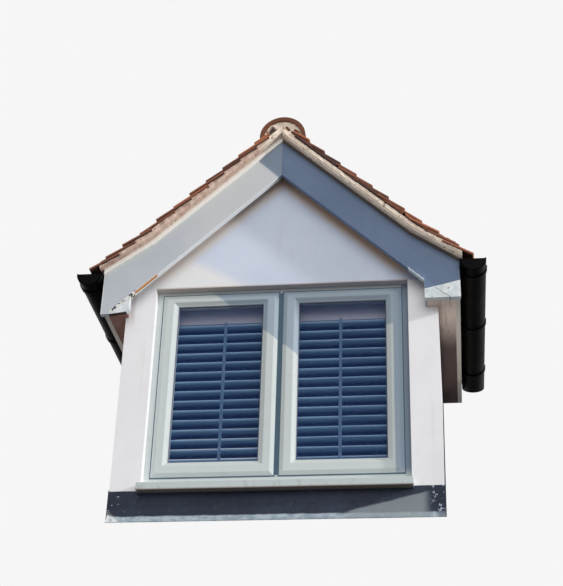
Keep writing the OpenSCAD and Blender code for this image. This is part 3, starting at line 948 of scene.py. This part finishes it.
# Ridge tiles.
# Half round clay ridge tiles, each about 300 mm long, bedded on mortar along the ridge; their joints
# are a few millimetres open, and no two tiles lie quite in line.

ridge_front, ridge_step, ridge_gap, ridge_wall = -100, 300, 4, 20
ridge_half, ridge_n = math.radians(101), 8


def ridge_tile(bm, y0, length, chance):
    """One ridge tile: a wall of clay spun over the ridge and drawn along it."""
    before = len(bm.verts)
    inner = bm.verts.new((0, y0, ridge_r - ridge_wall))
    outer = bm.verts.new((0, y0, ridge_r))
    edge = bm.edges.new((inner, outer))
    start = Matrix.Rotation(-ridge_half, 3, "Y")
    bmesh.ops.rotate(bm, verts=[inner, outer], cent=(0, 0, 0), matrix=start)
    bmesh.ops.spin(bm, geom=[inner, outer, edge], cent=(0, 0, 0), axis=(0, 1, 0), dvec=(0, 0, 0),
                   angle=2 * ridge_half, steps=28)
    bm.verts.ensure_lookup_table()
    grown = bmesh.ops.extrude_face_region(bm, geom=faces_of(bm.verts[before:]))["geom"]
    bmesh.ops.translate(bm, verts=only(bmesh.types.BMVert, grown), vec=(0, length, 0))
    bm.verts.ensure_lookup_table()
    shell = bm.verts[before:]
    shrink = chance.uniform(0.985, 0.998)
    bmesh.ops.scale(bm, vec=(shrink, 1, shrink), verts=shell)
    bmesh.ops.translate(bm, verts=shell, vec=(chance.uniform(-1.5, 1.5), 0, ridge_c))
    tint_faces(bm, faces_of(shell), chance.random())


bm = bmesh.new()
bm.faces.layers.float.new("tint")
chance = random.Random(3)
for number in range(ridge_n):
    ridge_tile(bm, ridge_front + number * ridge_step, ridge_step - ridge_gap, chance)
trim(bm, seat_point, seat_normal)
bmesh.ops.recalc_face_normals(bm, faces=bm.faces)
finished("ridge_tiles_bedded", bm, ["ridge_tiles"], ridge_clay)

# Fascias and soffits.
# Thin painted boards close the eaves behind the gutters; damp has turned the left soffit brown and
# broken its inner front corner, and the right one is cream in front, with painted shade darkening it
# towards the back.

soffit_corner, broken_x = -645, -676


def fascia_paint():
    paint = Finish("cream_fascia_paint")
    runs = paint.cloud(40, 5, (1, 0.08, 1))
    blotch = paint.cloud(5, 6, (1, 0.4, 1))
    darkening = paint.ramp(blotch * 0.7 + runs * 0.3, 0.5, 0.72)
    tone = paint.mix(darkening, shade(222, 214, 202), shade(164, 142, 122))
    paint.cover(tone, 0.6 + blotch * 0.2)
    paint.relief(runs * 0.5 + blotch * 0.5, 0.0008)
    return paint


def soffit_paint():
    paint = Finish("soffit_paint_stained_and_painted_shade")
    blotch = paint.cloud(7, 6, (1, 0.5, 1))
    grain = paint.cloud(60, 5, (1, 0.08, 1))
    # Painted shade: the right soffit darkens from cream to brown towards the back.
    deep = paint.ramp(paint.axis("Y") + (blotch - 0.5) * 160, 60, 420)
    right = paint.mix(deep, shade(242, 222, 206), shade(94, 76, 72))
    left = paint.mix(paint.ramp(blotch, 0.35, 0.65), shade(176, 132, 118), shade(140, 104, 94))
    tone = paint.mix(paint.ramp(paint.axis("X"), -1, 1), left, right)
    tone = paint.mix(paint.ramp(grain, 0.55, 0.75) * 0.4, tone, shade(96, 70, 60))
    paint.cover(tone, 0.65 + blotch * 0.2)
    paint.relief(grain * 0.5 + blotch * 0.5, 0.0008)
    return paint


fascia_paint().wear("left_fascia", "right_fascia")
bm = copy_of("soffits")
for v in bm.verts:
    if abs(v.co.x - soffit_corner) < 5:
        v.co.x = broken_x
finished("soffit_boards", bm, ["soffits"], soffit_paint())

# Gutters.
# Half round gutters of black plastic with a beaded rim and a stop end, clipped into brackets on the
# fascias; dust and splashes of mortar dull them.

gutter_r, gutter_t, bead_r = 56, 3, 3
gutter_at = Vector((847, -110, 1008))
gutter_length = 1500


def black_plastic():
    plastic = Finish("black_gutter_plastic")
    dust = plastic.cloud(12, 6)
    splash = plastic.ramp(plastic.cloud(38, 5), 0.7, 0.76)
    scratch = plastic.cloud(160, 3, (1, 0.1, 1))
    tone = plastic.mix(plastic.ramp(dust, 0.45, 0.8), shade(3, 3, 4), shade(9, 8, 9))
    tone = plastic.mix(splash * 0.3, tone, shade(80, 60, 54))
    plastic.cover(tone, 0.36 + dust * 0.3, 0.05)
    plastic.relief(scratch * 0.3 + splash * 0.7, 0.0005)
    return plastic


def draw_back(bm, faces, length):
    """Draws faces back along Y into a solid."""
    grown = bmesh.ops.extrude_face_region(bm, geom=faces)["geom"]
    bmesh.ops.translate(bm, verts=only(bmesh.types.BMVert, grown), vec=(0, length, 0))


plastic = black_plastic()
upright = Matrix.Rotation(math.pi / 2, 4, "X")
for side, name in ((-1, "left_gutter"), (1, "right_gutter")):
    bm = bmesh.new()
    lip = bm.verts.new((gutter_r, 0, 0)), bm.verts.new((gutter_r - gutter_t, 0, 0))
    wall = bm.edges.new(lip)
    bmesh.ops.spin(bm, geom=[*lip, wall], cent=(0, 0, 0), axis=(0, 1, 0), dvec=(0, 0, 0),
                   angle=math.pi, steps=28)
    if min(v.co.z for v in bm.verts) > -1:
        bmesh.ops.scale(bm, vec=(1, 1, -1), verts=bm.verts)
    draw_back(bm, bm.faces[:], gutter_length)
    for x in (-gutter_r + bead_r, gutter_r - bead_r):
        ring = bmesh.ops.create_circle(bm, cap_ends=True, radius=bead_r, segments=12,
                                       matrix=Matrix.Translation((x, 0, 1)) @ upright)
        draw_back(bm, list(ring["verts"][0].link_faces), gutter_length)
    known = set(bm.verts)
    bmesh.ops.create_circle(bm, cap_ends=True, radius=gutter_r, segments=56, matrix=upright)
    disc = [v for v in bm.verts if v not in known]
    rim = list(dict.fromkeys(e for v in disc for e in v.link_edges))
    bmesh.ops.bisect_plane(bm, geom=disc + rim + faces_of(disc), dist=0.01, plane_co=(0, 0, 1),
                           plane_no=(0, 0, 1), clear_outer=True)
    draw_back(bm, faces_of([v for v in bm.verts if v not in known]), gutter_t)
    bmesh.ops.translate(bm, verts=bm.verts, vec=gutter_at)
    trim(bm, seat_point, seat_normal)
    face_out(bm, side)
    finished(name + "_half_round", bm, [name], plastic)
plastic.wear("gutter_brackets")

# Leadwork.
# Sheet lead dressed by hand: an apron under the sill that laps over the tiles with a wavy pale lip,
# upstands along the cheeks, and linings in the valleys; it is dark and blotched, with white bloom, and
# a paler wedge on the right of the apron is painted sunlight.

lead_t = 3.5
apron_half, columns = 690, 92
apron_top, apron_foot = 8, -124
lip_top, lip_d = -90, 35
sill_end, end_top = 568, 17
apron_profile = [
    (-4, apron_top), (-4, -30), (-4, -68), (-4.5, -98), (-8, -108), (-16, -115.5), (-24, -122.5),
    (-29, -127),
]


def sheet_lead(name):
    lead = Finish(name)
    blotch = lead.cloud(6, 6)
    fine = lead.cloud(60, 5)
    bloom = lead.ramp(lead.cloud(20, 6), 0.6, 0.8)
    grey = lead.ramp(blotch * 0.7 + fine * 0.3, 0.35, 0.7)
    tone = lead.mix(grey, shade(40, 46, 60), shade(56, 63, 79))
    tone = lead.mix(bloom * 0.3, tone, shade(150, 158, 172))
    return lead, tone, blotch, fine


def close_lead(lead, tone, blotch, fine):
    lead.cover(tone, 0.55 + blotch * 0.2, 0.25)
    lead.relief(blotch * 0.7 + fine * 0.3, 0.003)
    return lead


def apron_lead():
    lead, tone, blotch, fine = sheet_lead("dressed_apron_lead")
    height = lead.axis("Z") + (lead.cloud(14, 3) - 0.5) * 12
    right = lead.axis("X")
    lip = 1 - lead.ramp(height, -98, -91)
    mottle = lead.ramp(lead.cloud(30, 4), 0.4, 0.65)
    tone = lead.mix(lip * 0.9, tone, lead.mix(mottle, shade(186, 200, 208), shade(150, 166, 180)))
    spot = lead.ramp(lead.cloud(44, 3, shift=(3, 3, 8)), 0.66, 0.7)
    far_left = 1 - lead.ramp(right, -620, -520)
    tone = lead.mix(spot * far_left * 0.8, tone, shade(226, 228, 232))
    # Painted light: a wedge on the right of the apron is painted paler grey, as a patch of sunlight.
    wedge = 1 - lead.ramp(height + 161 - right * 0.246, -5, 5)
    wedge = wedge * lead.ramp(right, 250, 330) * (1 - lead.ramp(right, 596, 640))
    tone = lead.mix(wedge * 0.75, tone, shade(150, 160, 166))
    crumple = lead.ramp(right * -1 - height * 1.2, 765, 795) * lead.ramp(lead.cloud(36, 4), 0.36, 0.5)
    tone = lead.mix(crumple, tone, shade(236, 236, 238))
    right_end = lead.ramp(right + height * 0.3, 610, 640)
    fold = right_end * lead.ramp(lead.cloud(38, 3, shift=(8, 2, 4)), 0.56, 0.62)
    tone = lead.mix(right_end * 0.5, tone, shade(34, 38, 52))
    tone = lead.mix(fold * 0.8, tone, shade(176, 188, 204))
    return close_lead(lead, tone, blotch, fine)


bm = bmesh.new()
edge = [bm.verts.new((-apron_half, y, z)) for y, z in apron_profile]
rows = [bm.edges.new((edge[i], edge[i + 1])) for i in range(len(edge) - 1)]
for number in range(columns):
    grown = bmesh.ops.extrude_edge_only(bm, edges=rows)["geom"]
    rows = [e for e in only(bmesh.types.BMEdge, grown) if all(v in grown for v in e.verts)]
    bmesh.ops.translate(bm, verts=only(bmesh.types.BMVert, grown), vec=(2 * apron_half / columns, 0, 0))
for v in bm.verts:
    x, y, z = v.co
    wave = noise.noise(Vector((x / 90, 0, 3))) + 0.4 * noise.noise(Vector((x / 28, 0, 7)))
    low = min(1.0, max(0.0, (lip_top - z) / lip_d))
    v.co.z = max(z + low * (abs(wave) * 7), apron_foot)
    v.co.y = y + low * abs(wave) * 4 + (1 - low) * noise.noise(Vector((x / 60, 5, z / 60)))
    if z > 0 and abs(x) > sill_end:
        v.co.z = end_top
bmesh.ops.recalc_face_normals(bm, faces=bm.faces)
if sum(f.normal.y for f in bm.faces) > 0:
    bmesh.ops.reverse_faces(bm, faces=bm.faces)
bmesh.ops.solidify(bm, geom=bm.faces[:], thickness=lead_t)
bmesh.ops.recalc_face_normals(bm, faces=bm.faces)
finished("lead_apron_dressed", bm, ["lead_apron"], apron_lead())
close_lead(*sheet_lead("weathered_sheet_lead")).wear("cheek_flashings", "valley_leads")

# Studio.
# A pale floor far below, a lamp from the upper right that grazes the front, weak wide ones from in
# front, below and behind, and a camera that looks up from below, a little to the right.

floor_half, floor_z = 30, -2.4
floor_mesh = bpy.data.meshes.new("studio_floor")
bm = bmesh.new()
bmesh.ops.create_grid(bm, x_segments=1, y_segments=1, size=floor_half)
bmesh.ops.translate(bm, verts=bm.verts, vec=(0, 0, floor_z))
bm.to_mesh(floor_mesh)
bm.free()
floor = bpy.data.objects.new("studio_floor", floor_mesh)
bpy.context.scene.collection.objects.link(floor)
pale_floor = Finish("pale_floor")
seen = pale_floor.node("ShaderNodeLightPath", out="Is Camera Ray")
mottle = pale_floor.mix(pale_floor.cloud(2), shade(224, 224, 224), shade(228, 228, 228))
pale_floor.cover(pale_floor.mix(seen, shade(110, 110, 112), mottle), 0.9)
floor_mesh.materials.append(pale_floor.material)

studio = bpy.data.worlds.new("pale_studio")
bpy.context.scene.world = studio
air = Finish("pale_studio", studio)
camera_ray, glossy_ray, passing_ray = (
    air.node("ShaderNodeLightPath", out=f"Is {kind} Ray") for kind in ("Camera", "Glossy", "Transmission"))
visible = air.sum("MAXIMUM", air.sum("MAXIMUM", camera_ray, glossy_ray), passing_ray)
sky_seen, sky_light = 0.92, 0.4
air.feed(air.shader, {"Color": (1, 1, 1, 1), "Strength": visible * (sky_seen - sky_light) + sky_light})


def lamp(name, aim, strength, spread):
    """A far lamp that shines along aim; its spread in degrees softens the shadows."""
    light = bpy.data.lights.new(name, "SUN")
    light.energy = strength
    light.angle = math.radians(spread)
    made = bpy.data.objects.new(name, light)
    made.rotation_mode = "QUATERNION"
    made.rotation_quaternion = Vector(aim).to_track_quat("-Z", "Y")
    bpy.context.scene.collection.objects.link(made)


lamp("key_lamp", (-4.2, 1, -1.4), 2.2, 2.5)
lamp("fill_lamp", (-0.2, 0.9, -0.3), 1.1, 50)
lamp("low_lamp", (0.1, 0.7, 0.7), 0.36, 60)
lamp("rear_lamp", (0.75, -0.55, -0.3), 0.8, 40)

camera = bpy.data.objects.new("camera", bpy.data.cameras.new("camera"))
bpy.context.scene.collection.objects.link(camera)
camera.data.sensor_width = 36
camera.data.lens = 81.65
camera_at = (0.7136, -5.0966, -1.9187)
turn = Matrix.Rotation(math.radians(8.0), 4, "Z")
tip = Matrix.Rotation(math.radians(90 + 29.86), 4, "X")
roll = Matrix.Rotation(math.radians(1.8), 4, "Z")
camera.matrix_world = Matrix.Translation(camera_at) @ turn @ tip @ roll
bpy.context.scene.camera = camera
bpy.context.scene.view_settings.view_transform = "Standard"
